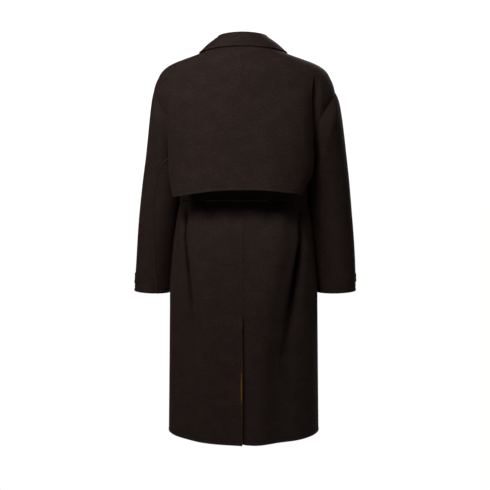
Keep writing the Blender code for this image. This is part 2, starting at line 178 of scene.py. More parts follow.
# Storm flap: its first rows lie on the body, and its edges reach to shares of its half width
FlapSection = namedtuple("FlapSection", Section._fields + ("edge_left", "edge_right"))
FLAP_ON_BODY = (
    (1.000, 1.000),
    (1.000, 1.000),
    (1.000, 1.000),
    (1.000, 1.000),
    (0.974, 0.940),
    (0.912, 0.843),
    (0.869, 0.780),
    (0.835, 0.740),
    (0.815, 0.720),
)
FLAP = tuple(FlapSection(*row, *reach) for row, reach in zip(BODY, FLAP_ON_BODY)) + (
    FlapSection(0.2375, -0.1925, 0.1375, -0.2070, 0.1335, -0.2400, 0.836, 0.749),
    FlapSection(0.2330, -0.2615, 0.1450, -0.2615, 0.1340, -0.2900, 0.854, 0.776),
    FlapSection(0.2315, -0.3255, 0.1530, -0.3105, 0.1340, -0.3300, 0.853, 0.783),
    FlapSection(0.2315, -0.3750, 0.1605, -0.3525, 0.1340, -0.3800, 0.826, 0.714),
    FlapSection(0.2310, -0.4080, 0.1655, -0.3770, 0.1340, -0.4080, 0.800, 0.655),
)
FLAP_TOP = 0.5
FLAP_WIDTH = 0.42
FLAP_REST = 0.0015

# The skirt's deep folds: each crest's distance from the centre back and the drop behind it, the width of the
# right one's floor, and how much softer both are than at their top
Fold = namedtuple("Fold", "z left_crest left_depth right_crest right_depth right_floor soft")
FOLDS = (
    Fold(-0.4070, 0.1445, 0.000, 0.1370, 0.000, 0.002, 0.000),
    Fold(-0.4400, 0.1455, 0.034, 0.1380, 0.026, 0.008, 0.000),
    Fold(-0.5100, 0.1470, 0.062, 0.1385, 0.044, 0.011, 0.000),
    Fold(-0.6005, 0.1355, 0.070, 0.1195, 0.050, 0.017, 0.000),
    Fold(-0.6915, 0.1235, 0.056, 0.1045, 0.043, 0.018, 0.003),
    Fold(-0.7835, 0.1110, 0.032, 0.0985, 0.022, 0.012, 0.012),
    Fold(-0.8860, 0.1040, 0.012, 0.0960, 0.010, 0.006, 0.026),
    Fold(-1.0465, 0.0980, 0.000, 0.0940, 0.002, 0.000, 0.030),
)

# A back panel's columns: half of them on each side of the crest, over a general width, and closest round it
CREST_SHARE = 0.5
CREST_SIDE = 0.14
CREST_STEP = 0.0013
CREST_LEAD = 0.012
CREST_TRAIL = 0.036

# Behind a crest the cloth drops over its wall and comes back slowly. The panel in front of it is pushed out,
# as a share of that drop, and rolls over to the crest, which leans over. Soft stretches have no sharp crest.
FoldForm = namedtuple("FoldForm", "wall back rise roll_width crown")
LEFT_FOLD = FoldForm(0.0035, 0.012, 0.12, 0.010, 0.04)
RIGHT_FOLD = FoldForm(0.0050, 0.020, 0.36, 0.045, 0.10)
FOLD_RISE_REACH = 0.085
FOLD_TO_SEAM = 0.03
CROWN_WIDTH = 0.012
CROWN_SOFT = 0.008
FOLD_BLUNT_FROM = 0.004
FOLD_BLUNT_RANGE = 0.018

# Sleeve rings from the armhole to the cuff
Ring = namedtuple("Ring", "left_x right_x outer_z inner_x inner_z back front middle_y left_seam right_seam")
SLEEVE = (
    Ring(0.2455, 0.2455, -0.1140, 0.1885, -0.2910, 0.064, 0.066, 0.000, 135, 135),
    Ring(0.2510, 0.2570, -0.1395, 0.1915, -0.3130, 0.067, 0.070, -0.002, 133, 136),
    Ring(0.2575, 0.2665, -0.1825, 0.1835, -0.3355, 0.071, 0.075, -0.011, 121, 133),
    Ring(0.2645, 0.2750, -0.2365, 0.1755, -0.3605, 0.073, 0.077, -0.022, 98, 121),
    Ring(0.2715, 0.2825, -0.2910, 0.1740, -0.3850, 0.073, 0.077, -0.030, 82, 107),
    Ring(0.2800, 0.2910, -0.3525, 0.1740, -0.4200, 0.071, 0.075, -0.036, 77, 106),
    Ring(0.2875, 0.2985, -0.4200, 0.1815, -0.4650, 0.068, 0.072, -0.040, 80, 110),
    Ring(0.2950, 0.3065, -0.5000, 0.1910, -0.5250, 0.064, 0.068, -0.044, 89, 120),
    Ring(0.3010, 0.3125, -0.5800, 0.1980, -0.5930, 0.061, 0.064, -0.049, 100, 132),
    Ring(0.3075, 0.3155, -0.6630, 0.2040, -0.6670, 0.059, 0.061, -0.054, 112, 149),
)
SLEEVE_LENGTH = 0.56
UPPER_WIDTH = 0.24
UNDER_WIDTH = 0.12
SLEEVE_TUCK = 0.16
TUCK_SINK = CLOTH + 0.0008
FRONT_SEAM = -112.5

# The upper piece laps over the back seam, as a felled edge so many times as high, from this ring on
SLEEVE_LAP = 2.6
SLEEVE_LAP_FROM = 0.6
SLEEVE_LAP_RINGS = 1.2

# Fullness of a sleeve under the arm and over its head: height, ring, how many rings and how wide
Fullness = namedtuple("Fullness", "height ring rings width")
UNDERARM = Fullness(0.0045, 1.0, 0.8, 0.06)
SLEEVE_HEAD = Fullness(0.0004, 0.45, 0.4, 0.07)

# Cuff straps: their edges by ring, and where each one's tip lies, in degrees from the sleeve's outer line
STRAP_LENGTH = 0.16
STRAP_WIDTH = 0.030
STRAP_TOP = 8.36
STRAP_FOOT = 8.66
STRAP_TIP_LEFT = 47
STRAP_TIP_RIGHT = 10
STRAP_TAPER = 0.35
STRAP_TAPER_FROM = 0.85
STRAP_TAPER_RANGE = 0.15
STRAP_REST = 0.0003
STRAP_CLOTH = 0.0013
STRAP_FELL = 0.5

# Where the flap is sewn in, the shoulder stands out as far as the flap does, and falls back over these rows
YOKE_FADE_FROM = 5.2
YOKE_FADE = 2.8
YOKE_RISE = 0.012
YOKE_BLEND = 0.035
SHOULDER_RIDGE = 0.0018
SHOULDER_RIDGE_WIDTH = 0.016
SHOULDER_RIDGE_FROM = 3.5
SHOULDER_RIDGE_FADE = 2.5

# Behind the armhole, back panel and sleeve stand out together, most halfway down it
ARMHOLE_FULLNESS = 0.003
ARMHOLE_FULL_REACH = 0.060
ARMHOLE_FULL_RINGS = 1.8

# Groove between the storm flap's side edge and the sleeve: where it lies, and its section across
GROOVE_ROW = 7
GROOVE_UNDER = 0.026
GROOVE_DROP = 0.016
GROOVE_FLOOR = 0.002
GROOVE_WALL = 0.027
GROOVE_TOP = -0.070
GROOVE_FADE = 0.050
GROOVE_FOOT = -0.345
GROOVE_BACK = 0.040
GROOVE_LEFT = 0.003
GROOVE_RIGHT = 0.019

# The flap lies flat across the back and rounds off to its sides. Its right edge rolls in towards the body,
# and its lower right corner turns in further. The peak factor makes the fullness 1 where it is largest.
FLAP_FULLNESS = 0.010
FLAP_FULL_PEAK = 2.6
FLAP_FULL_ROW = 6.5
FLAP_FULL_FADE = 3.0
EDGE_ROLL = 0.011
EDGE_ROLL_WIDTH = 0.034
EDGE_ROLL_TOP = -0.080
EDGE_ROLL_FADE = 0.080
CORNER_TURN = 0.012
CORNER_FROM_X = -0.060
CORNER_REACH = 0.120
CORNER_FROM_Z = -0.220
CORNER_FADE = 0.150

# The vent's ochre lip: how wide it shows from its top down to the hem. The lip is real all along; its wider
# stretch lower down is a painted highlight where light falls on the rolled edge.
Lip = namedtuple("Lip", "z width")
VENT_LIP_AND_HIGHLIGHT = (
    Lip(-0.7150, 0.0000),
    Lip(-0.7300, 0.0010),
    Lip(-0.8500, 0.0012),
    Lip(-0.8700, 0.0040),
    Lip(-0.9250, 0.0040),
    Lip(-0.9450, 0.0012),
    Lip(-1.0500, 0.0010),
)
VENT_LIP_REACH = 0.012
VENT_GAP_SINK = 0.0045
VENT_GAP_WIDTH = 0.012

# Soft creases, each along a line from its head to its foot: how far it lies to the coat's left and how high
# at both ends, its half width, and its height, below zero for a trough
Crease = namedtuple("Crease", "x z foot_x foot_z width height")
CREASE_HEAD = 0.12
CREASE_FOOT = 0.55
CREASE_TO_SEAM = 0.02
BACK_CREASES = (
    Crease(0.1160, -0.4080, 0.1190, -0.5100, 0.011, 0.0030),
    Crease(0.0840, -0.4080, 0.0820, -0.4950, 0.014, -0.0050),
    Crease(0.0430, -0.4080, 0.0460, -0.5250, 0.013, 0.0032),
    Crease(0.0110, -0.4080, 0.0100, -0.4700, 0.012, -0.0022),
    Crease(-0.0280, -0.4080, -0.0300, -0.5400, 0.013, 0.0034),
    Crease(-0.0630, -0.4080, -0.0670, -0.5000, 0.013, -0.0050),
    Crease(-0.1030, -0.4080, -0.1090, -0.4950, 0.012, 0.0026),
    Crease(0.1520, -0.7000, 0.1580, -1.3000, 0.030, -0.0045),
    Crease(-0.0480, -0.7300, -0.0300, -1.3000, 0.022, 0.0034),
    Crease(-0.1060, -0.7600, -0.0960, -1.3000, 0.034, -0.0085),
    Crease(0.1850, -0.4600, 0.1930, -0.9000, 0.016, -0.0040),
    Crease(-0.1840, -0.4700, -0.1900, -0.8400, 0.015, -0.0035),
    Crease(0.0700, -0.5600, 0.0620, -0.8400, 0.030, -0.0012),
)
FRONT_CREASES = (
    Crease(0.1450, -0.4080, 0.1520, -0.5600, 0.011, 0.0036),
    Crease(0.1180, -0.4080, 0.1200, -0.5200, 0.012, -0.0046),
    Crease(0.0900, -0.4080, 0.0960, -0.5900, 0.012, 0.0034),
    Crease(0.0620, -0.4080, 0.0650, -0.4900, 0.011, -0.0036),
    Crease(-0.0680, -0.4080, -0.0720, -0.5000, 0.012, -0.0042),
    Crease(-0.0960, -0.4080, -0.1050, -0.6000, 0.012, 0.0036),
    Crease(-0.1260, -0.4080, -0.1290, -0.5100, 0.012, -0.0048),
    Crease(-0.1500, -0.4080, -0.1580, -0.5500, 0.011, 0.0030),
    Crease(0.1300, -0.5600, 0.1420, -1.3000, 0.026, -0.0085),
    Crease(0.0950, -0.6000, 0.1020, -1.3000, 0.022, 0.0040),
    Crease(-0.1220, -0.5400, -0.1400, -1.3000, 0.028, -0.0090),
    Crease(-0.0880, -0.6200, -0.0980, -1.3000, 0.022, 0.0042),
    Crease(0.0950, -0.3560, 0.1500, -0.2200, 0.012, -0.0030),
    Crease(0.0600, -0.3560, 0.0850, -0.2500, 0.010, 0.0024),
    Crease(0.1250, -0.3560, 0.1700, -0.2700, 0.010, 0.0026),
    Crease(-0.1000, -0.3560, -0.1560, -0.2300, 0.012, -0.0032),
    Crease(-0.0640, -0.3560, -0.0900, -0.2600, 0.010, 0.0022),
    Crease(-0.1300, -0.3560, -0.1720, -0.2800, 0.010, 0.0026),
)
FLAP_CREASES = (
    Crease(0.0090, -0.0100, 0.0090, -0.1450, 0.005, 0.0018),
    Crease(0.1500, -0.2300, 0.1560, -0.6000, 0.030, -0.0030),
    Crease(0.0800, -0.2200, 0.0900, -0.6000, 0.035, 0.0020),
    Crease(-0.0600, -0.2400, -0.0640, -0.6000, 0.030, 0.0016),
)

# On a sleeve a crease's first measure runs round it from the outer line, to the back
SLEEVE_REACH = 0.065
SLEEVE_CREASES = (
    Crease(-0.175, -0.3550, -0.045, -0.3780, 0.010, -0.0042),
    Crease(-0.165, -0.3880, -0.055, -0.4020, 0.009, -0.0046),
    Crease(-0.170, -0.3700, -0.070, -0.3900, 0.008, 0.0024),
    Crease(-0.150, -0.4250, -0.040, -0.4480, 0.010, -0.0034),
    Crease(-0.160, -0.3150, -0.090, -0.3300, 0.011, -0.0026),
    Crease(-0.080, -0.2100, -0.120, -0.3000, 0.014, -0.0030),
    Crease(0.060, -0.3600, 0.120, -0.3350, 0.016, -0.0012),
    Crease(0.055, -0.4300, 0.115, -0.4050, 0.018, -0.0011),
    Crease(0.020, -0.5200, 0.080, -0.5000, 0.022, -0.0009),
)

# The belt's knot: the turn of cloth that wraps it, how it tucks in at its sides and narrows, and its pleats
KNOT_RUN = 0.075
KNOT_SPAN = 0.055
KNOT_STEP = 0.0018
KNOT_WRAP = 95
KNOT_FLATNESS = 0.5
KNOT_TUCK = 0.9
KNOT_TUCK_POWER = 3.5
KNOT_WAIST = 0.86
KNOT_FLARE = 0.14
KNOT_FLARE_POWER = 1.5
KNOT_SKEW = 0.004
KNOT_PLEATS = 2.5
KNOT_PLEAT_DEPTH = 0.0017
KNOT_PLEAT_SHIFT = 0.7
KNOT_PLEAT_TWIST = 0.6

# The cut of each piece before sewing, as the rectangle it comes out of and its own area, and how it is held
Cut = namedtuple("Cut", "width length area held rests_on")


def smooth(share):
    """0 below 0, 1 above 1, and an even rise between them."""
    share = np.clip(share, 0.0, 1.0)
    return share * share * (3 - 2 * share)


def swell(distance, width):
    """1 in the middle, and next to nothing two widths away."""
    return np.exp(-((distance / width) ** 2))


def through(share, before, first, second, after):
    """A smooth curve from first to second that heads on to the values around them."""
    bend = 2 * before - 5 * first + 4 * second - after
    twist = 3 * (first - second) + after - before
    return first + 0.5 * share * (second - before + share * (bend + share * twist))


def around(count, place):
    """The indices of the four entries round each place in a list, and the share between the middle two."""
    start = np.clip(np.floor(place).astype(int), 0, count - 2)
    return place - start, [np.clip(start + step, 0, count - 1) for step in (-1, 0, 1, 2)]


def lengths(vectors):
    """The length of each vector, as a column."""
    return np.linalg.norm(vectors, axis=-1, keepdims=True)


def row_at(table, place):
    """A table's columns at each place between its rows, whose own distances set how the curve bends."""
    rows = np.array(table, dtype=float)
    share, near = around(len(rows), np.asarray(place, dtype=float))
    before, first, second, after = (rows[index] for index in near)
    length, lead, trail = lengths(second - first), lengths(first - before), lengths(after - second)
    lead, trail = np.where(lead > 0, lead, length), np.where(trail > 0, trail, length)
    start = ((first - before) * length**2 / lead + (second - first) * lead) / (lead + length)
    end = ((second - first) * trail + (after - second) * length**2 / trail) / (length + trail)
    share = share[..., None]
    bend = 3 * (second - first) - 2 * start - end
    columns = first + share * (start + share * (bend + share * (2 * (first - second) + start + end)))
    return type(table[0])(*np.moveaxis(columns, -1, 0))


def row_at_height(table, z):
    """A table's columns at each height, straight between its rows."""
    rows = np.array(table)[::-1]
    return type(table[0])(*(np.interp(z, rows[:, 0], column) for column in rows.T))


def point(x, y, z):
    """Points from their three coordinates."""
    return np.stack(np.broadcast_arrays(x, y, z), axis=-1)


def shell(table, place, angle):
    """Outer points of a body form. The angle runs from the centre back towards the coat's left."""
    row = row_at(table, place)
    sine, cosine = np.sin(angle), np.cos(angle)
    depth = np.where(cosine > 0, row.back_y, row.front_y)
    level = np.where(cosine > 0, row.back_z, row.front_z)
    return point(row.side_x * sine, depth * cosine, row.side_z + (level - row.side_z) * cosine**2)


def shell_normal(table, place, angle):
    """The outward direction of a body form."""
    sideways = shell(table, place, angle - NORMAL_STEP) - shell(table, place, angle + NORMAL_STEP)
    upward = shell(table, place - NORMAL_STEP, angle) - shell(table, place + NORMAL_STEP, angle)
    normal = np.cross(sideways, upward)
    return normal / lengths(normal)


def moved_out(table, place, angle, distance):
    """Points that lie on a body form, at a distance outside it."""
    distance = np.asarray(distance)[..., None]
    return shell(table, place, angle) + shell_normal(table, place, angle) * distance


def angle_of(row, x):
    """The angle from the centre line at which a row reaches out to x, negative past the centre."""
    return np.arcsin(np.clip(x / row.side_x, -1.0, 1.0))


def outward(points):
    """The outward direction at each point of a piece's grid."""
    normal = np.cross(np.gradient(points, axis=1), np.gradient(points, axis=0))
    return normal / np.maximum(lengths(normal), 1e-12)


def softened(normal):
    """Outward directions that turn slowly from column to column, so a sharp crease keeps its thickness."""
    for _ in range(NORMAL_PASSES):
        normal[:, 1:-1] = (normal[:, :-2] + 2 * normal[:, 1:-1] + normal[:, 2:]) / 4
    return normal / lengths(normal)


def raised(points, height):
    """A piece's grid with each point moved out by its height."""
    return points + outward(points) * height[..., None]


def run_of(points, axis):
    """How far each grid point is from its line's first end, along the cloth."""
    steps = np.linalg.norm(np.diff(points, axis=axis), axis=-1)
    run = np.cumsum(steps, axis=axis)
    return np.concatenate([np.zeros_like(np.take(run, [0], axis=axis)), run], axis=axis)


Edges = namedtuple("Edges", "first last foot head")


def edges_of(points):
    """How far each grid point is from the piece's four edges: first and last column, foot and head."""
    across, along = run_of(points, 1), run_of(points, 0)
    return Edges(across, across[:, -1:] - across, along, along[-1:] - along)


def felled(distance):
    """The height of a felled edge: thicker to its groove."""
    pad = FELL_PAD * (1 - smooth((distance - FELL_WIDTH + FELL_FADE / 2) / FELL_FADE))
    return pad - FELL_GROOVE * swell(distance - FELL_WIDTH, FELL_GROOVE_WIDTH)


def creased(across, up, creases):
    """The height of soft creases at places that lie so far across and up."""
    height = np.zeros(np.broadcast(across, up).shape)
    for crease in creases:
        run_x, run_z = crease.foot_x - crease.x, crease.foot_z - crease.z
        length = math.hypot(run_x, run_z)
        along = ((across - crease.x) * run_x + (up - crease.z) * run_z) / length**2
        aside = ((across - crease.x) * run_z - (up - crease.z) * run_x) / length
        fade = smooth(along / CREASE_HEAD) * smooth((1 - along) / CREASE_FOOT)
        height += crease.height * swell(aside, crease.width) * fade
    return height


def grid_lines(length, step=GRID_STEP):
    """Shares of a length where a piece has grid lines: even, and close together at both ends."""
    count = max(3, round((length - 2 * EDGE_LINES[-1]) / step))
    middle = np.linspace(EDGE_LINES[-1], length - EDGE_LINES[-1], count)
    return np.concatenate([EDGE_LINES[:-1], middle, length - EDGE_LINES[-2::-1]]) / length


def rows_down(table, first, last):
    """The places of a piece's rows, from its foot up, evenly along the centre back."""
    place = np.linspace(last, first, RUN_STEPS)
    row = row_at(table, place)
    run = np.concatenate([[0], np.cumsum(np.hypot(np.diff(row.back_y), np.diff(row.back_z)))])
    return np.interp(grid_lines(run[-1]) * run[-1], run, place)[:, None]


def edge_rounding(edges, free):
    """How far both faces draw in at the edges: to a half round where free, a little where sewn."""
    rounding = 0.0
    for distance, loose in zip(edges, free):
        radius = SEAM_ROUND + (EDGE_ROUND - SEAM_ROUND) * loose
        near = radius - np.minimum(distance, radius)
        rounding = np.maximum(rounding, radius - np.sqrt(radius**2 - near**2))
    return rounding


def sewn(name, points, free, ochre=None, cloth=CLOTH):
    """One cut piece as a closed shell of double-faced cloth.

    free tells how loose each of its edges is, from 0, sewn, to 1, and ochre marks the outer grid points that
    show the other face's colour. At the vent's and the belt's lips that colour is partly a painted
    highlight.
    """
    rows, columns = points.shape[:2]
    points = points + point(row_at_height(SWAY, points[..., 2]).x, 0.0, 0.0)
    normal = softened(outward(points))
    edges = edges_of(points)
    rounding = edge_rounding(edges, free)
    outer = points - normal * rounding[..., None]
    inner = points - normal * (cloth - rounding)[..., None]

    # A square slab, one unit wide and one unit thick, whose points then go to their places on the two faces
    mesh = bmesh.new()
    bmesh.ops.create_grid(mesh, x_segments=columns - 1, y_segments=rows - 1, size=0.5)
    slab = bmesh.ops.extrude_face_region(mesh, geom=mesh.faces[:] + mesh.edges[:], use_keep_orig=True)
    inside = [item for item in slab["geom"] if isinstance(item, bmesh.types.BMVert)]
    bmesh.ops.translate(mesh, verts=inside, vec=(0, 0, -1))
    bmesh.ops.recalc_face_normals(mesh, faces=mesh.faces[:])
    data = bpy.data.meshes.new(name)
    mesh.to_mesh(data)
    mesh.free()

    flat = np.empty(3 * len(data.vertices))
    data.vertices.foreach_get("co", flat)
    flat = flat.reshape(-1, 3)
    column = np.rint((flat[:, 0] + 0.5) * (columns - 1)).astype(int)
    row = np.rint((flat[:, 1] + 0.5) * (rows - 1)).astype(int)
    face = np.empty(3 * len(data.polygons))
    data.polygons.foreach_get("center", face)
    face = face.reshape(-1, 3)
    other = face[:, 2] < -0.75
    if ochre is not None:
        face_column = np.clip(((face[:, 0] + 0.5) * (columns - 1)).astype(int), 0, columns - 2)
        face_row = np.clip(((face[:, 1] + 0.5) * (rows - 1)).astype(int), 0, rows - 2)
        other |= (ochre[:-1, :-1] & ochre[1:, 1:])[face_row, face_column]
    data.polygons.foreach_set("material_index", other.astype(np.int32))

    place = np.where(flat[:, 2:] < -0.5, inner[row, column], outer[row, column])
    data.vertices.foreach_set("co", place.ravel())
    corner = np.empty(len(data.loops), dtype=np.int32)
    data.loops.foreach_get("vertex_index", corner)
    cloth_map = np.stack([edges.first, edges.foot], axis=-1)[row, column][corner]
    data.uv_layers.new(name="cloth").uv.foreach_set("vector", cloth_map.ravel())
    data.shade_smooth()
    data.materials.append(brown_wool)
    data.materials.append(ochre_wool)
    data.update()
    return placed(name, data)


def placed(name, data):
    """A piece of the coat in the scene, in place of its solid, which is hidden."""
    piece = bpy.data.objects.new(f"{name}_cloth", data)
    bpy.context.scene.collection.objects.link(piece)
    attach(piece, "root")
    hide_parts(name)
    return piece


def hand(side):
    """The word for a side."""
    return "left" if side > 0 else "right"


def armhole_angle(place):
    """Where a body row ends: at the shoulder or side seam, or at the armhole between them."""
    share = np.clip((place - ARMHOLE_TOP) / (ARMHOLE_FOOT - ARMHOLE_TOP), 0.0, 1.0)
    return np.arcsin(1 - ARMHOLE_CUT * np.sin(np.pi * share))


def seam_angle(row):
    """Half a seam's gap, as an angle."""
    return SEAM / 2 / row.side_x


def yoke_lift(place):
    """How far the shoulder stands out beside the flap."""
    return (FLAP_REST + CLOTH) * (1 - smooth((place - YOKE_FADE_FROM) / YOKE_FADE))


def shoulder_ridge(place, distance):
    """The ridge of the shoulder seam's turnings, which runs out towards the shoulder's point."""
    along = 1 - smooth((place - SHOULDER_RIDGE_FROM) / SHOULDER_RIDGE_FADE)
    return SHOULDER_RIDGE * along * (1 - smooth(distance / SHOULDER_RIDGE_WIDTH))


def flap_reach(side, place):
    """The sine of the angle at which the flap ends on a body row."""
    row = row_at(FLAP, np.minimum(place, len(FLAP_ON_BODY) - 1))
    return np.minimum(row.edge_left if side > 0 else row.edge_right, 1.0)


def back_columns():
    """Shares across a back panel: close together at the centre, at the fold's crest and at the side seam."""
    to_crest = np.concatenate([
        EDGE_LINES,
        np.arange(EDGE_LINES[-1] + GRID_STEP, CREST_SIDE - CREST_LEAD, GRID_STEP),
        np.arange(CREST_SIDE - CREST_LEAD, CREST_SIDE, CREST_STEP),
    ])
    past_crest = np.concatenate([
        np.arange(0.0, CREST_TRAIL, CREST_STEP),
        np.arange(CREST_TRAIL + GRID_STEP, CREST_SIDE - EDGE_LINES[-1] - GRID_STEP / 2, GRID_STEP),
        CREST_SIDE - EDGE_LINES[::-1],
    ])
    past_crest = CREST_SIDE * CREST_SHARE + past_crest * (1 - CREST_SHARE)
    return np.concatenate([to_crest * CREST_SHARE, past_crest]) / CREST_SIDE


def back_angles(side, place):
    """The angles of a back panel's grid, and of its fold's crest in each row."""
    share = back_columns()[None, :]
    if side > 0:
        share = share[:, ::-1]
    row = row_at(BODY, place)
    centre = side * CENTRE_SEAM + SEAM / 2
    if side < 0:
        below = VENT_TOP - VENT_SINK_LEAD - row.back_z
        centre = centre - VENT_UNDERLAP * smooth(below / VENT_UNDERLAP_RISE)
    first = angle_of(row, centre)
    fold = row_at_height(FOLDS, row.back_z)
    waist_x = np.where(place > BELT_FOOT_ROW, row.side_x, BODY[BELT_FOOT_ROW].side_x)
    crest = np.arcsin((fold.left_crest if side > 0 else fold.right_crest) / waist_x)
    last = armhole_angle(place) - seam_angle(row)
    angle = np.where(
        share <= CREST_SHARE,
        first + (crest - first) * share / CREST_SHARE,
        crest + (last - crest) * (share - CREST_SHARE) / (1 - CREST_SHARE),
    )
    return angle, crest, share > CREST_SHARE


def folded(side, place, angle, crest, past):
    """A back panel's points with its deep fold: the crest leans over the valley past it."""
    base = shell(BODY, place, side * angle)
    fold = row_at_height(FOLDS, base[..., 2])
    depth, floor, form = (
        (fold.left_depth, 0.0, LEFT_FOLD) if side > 0 else (fold.right_depth, fold.right_floor, RIGHT_FOLD)
    )
    reach = np.linalg.norm(base - shell(BODY, place, side * crest), axis=-1)
    to_seam = (reach[:, :1] if side > 0 else reach[:, -1:]) - reach
    blunt = smooth((fold.soft - FOLD_BLUNT_FROM) / FOLD_BLUNT_RANGE)
    behind = 1 - np.exp(-((reach / (form.wall + fold.soft)) ** (1 + blunt)))
    behind = behind * np.exp(-np.maximum(reach - floor, 0.0) / (form.back + fold.soft))
    behind = behind * smooth(to_seam / FOLD_TO_SEAM)
    roll = np.minimum(reach / form.roll_width, 1.0)
    before = (1 - blunt) * (1 - (1 - roll) ** 2) + blunt * smooth(roll)
    before = before * (1 - smooth((reach - form.roll_width) / FOLD_RISE_REACH))
    drop = depth * np.where(past, behind, -form.rise * before)
    crown = form.crown * depth * swell(reach, CROWN_WIDTH) * np.exp(-fold.soft / CROWN_SOFT)
    outwards = shell_normal(BODY, place, side * angle)
    aside = shell(BODY, place, side * (angle + TURN_STEP)) - base
    aside = aside / lengths(aside)
    return base + (outwards + aside) * crown[..., None] - point(0.0, drop, 0.0)


def armhole_fullness(share, near):
    """How far the cloth behind the armhole stands out, from the shoulder's point down to the underarm."""
    return point(0.0, ARMHOLE_FULLNESS * np.sin(np.pi * np.clip(share, 0.0, 1.0)) ** 2 * near, 0.0)


def flap_groove(side, points):
    """How far a back panel and a sleeve sink beside the storm flap's edge."""
    x, y, z = np.abs(points[..., 0]), points[..., 1], points[..., 2]
    past = x - FLAP[GROOVE_ROW].side_x * flap_reach(side, np.array(float(GROOVE_ROW)))
    profile = smooth((past + GROOVE_UNDER) / GROOVE_DROP) * (1 - smooth((past - GROOVE_FLOOR) / GROOVE_WALL))
    span = smooth((GROOVE_TOP - z) / GROOVE_FADE) * smooth((z - GROOVE_FOOT) / GROOVE_FADE)
    depth = (GROOVE_LEFT if side > 0 else GROOVE_RIGHT) * profile * span * smooth(y / GROOVE_BACK)
    return point(0.0, depth, 0.0)


def back_panel(side):
    """A back panel, from the centre back seam to the shoulder, armhole and side seams."""
    place = rows_down(BODY, 0, len(BODY) - 1)
    angle, crest, past = back_angles(side, place)
    points = folded(side, place, angle, crest, past)
    edges = edges_of(points)
    centre_edge, sewn_edge = (edges.last, edges.first) if side > 0 else (edges.first, edges.last)
    x, z = points[..., 0], points[..., 2]

    opened = smooth((VENT_TOP - z) / VENT_BLEND)
    from_centre = side * (x - CENTRE_SEAM)
    near_vent = opened * (1 - smooth(from_centre / VENT_BLEND))
    if side > 0:
        # The ochre lip's width also lifts the edge; its wider stretch lower down is a painted highlight
        lip_and_highlight = row_at_height(VENT_LIP_AND_HIGHLIGHT, z).width
        height = VENT_EDGE_LIFT * near_vent + lip_and_highlight * opened * (1 - smooth(centre_edge / VENT_LIP_REACH))
    else:
        in_gap = opened * (1 - smooth(from_centre / VENT_GAP_WIDTH))
        height = -VENT_EDGE_SINK * near_vent - VENT_GAP_SINK * in_gap
    flap_edge = np.arcsin(flap_reach(side, place))
    beside_flap = smooth(((angle - flap_edge) * row_at(BODY, place).side_x + YOKE_RISE) / YOKE_RISE)
    height = height + (yoke_lift(place) + shoulder_ridge(place, sewn_edge)) * beside_flap
    height = height + creased(x, z, BACK_CREASES) * smooth(sewn_edge / CREASE_TO_SEAM)
    height = height + CENTRE_RIDGE * (1 - opened) * swell(centre_edge, CENTRE_RIDGE_WIDTH)
    height = height + felled(edges.foot) + felled(centre_edge) * opened
    free = Edges(0.0, opened, 1.0, 0.0) if side > 0 else Edges(opened, 0.0, 1.0, 0.0)
    ochre = centre_edge < lip_and_highlight if side > 0 else None
    share = (place - ARMHOLE_TOP) / (ARMHOLE_FOOT - ARMHOLE_TOP)
    fullness = armhole_fullness(share, 1 - smooth(sewn_edge / ARMHOLE_FULL_REACH))
    points = raised(points, height) - flap_groove(side, points) + fullness
    return sewn(f"back_{hand(side)}", points, free, ochre)


def lap_lift(x):
    """How far the right front stands out to lie over the left one."""
    return LAP_LIFT * smooth((x + OVERLAP + LAP_RISE) / (LAP_RISE - LAP_FLAT))


def front_panel(side):
    """A front panel, from the side seam round to its edge, past the centre front."""
    place = rows_down(BODY, 0, len(BODY) - 1)
    share = grid_lines(FRONT_WIDTH)[None, :]
    if side > 0:
        share = 1 - share[:, ::-1]
    row = row_at(BODY, place)
    edge = np.pi + angle_of(row, OVERLAP)
    seam = np.pi - armhole_angle(place) + seam_angle(row)
    across = share if side < 0 else 1 - share
    angle = side * (seam + (edge - seam) * across)
    points = shell(BODY, place, angle)
    if side < 0:
        points = points + shell_normal(BODY, place, angle) * lap_lift(points[..., 0])[..., None]
    edges = edges_of(points)
    front_edge, sewn_edge = (edges.first, edges.last) if side > 0 else (edges.last, edges.first)
    creases = creased(points[..., 0], points[..., 2], FRONT_CREASES)
    off_placket = smooth((side * points[..., 0] - OVERLAP - PLACKET_FLAT) / CREASE_TO_SEAM)
    height = creases * smooth(sewn_edge / CREASE_TO_SEAM) * off_placket
    height = height + yoke_lift(place) * (1 - smooth(sewn_edge / YOKE_BLEND))
    height = height + shoulder_ridge(place, sewn_edge)
    height = height + felled(edges.foot) + felled(front_edge)
    free = Edges(1.0, 0.0, 1.0, 0.0) if side > 0 else Edges(0.0, 1.0, 1.0, 0.0)
    return sewn(f"front_{hand(side)}", raised(points, height), free)


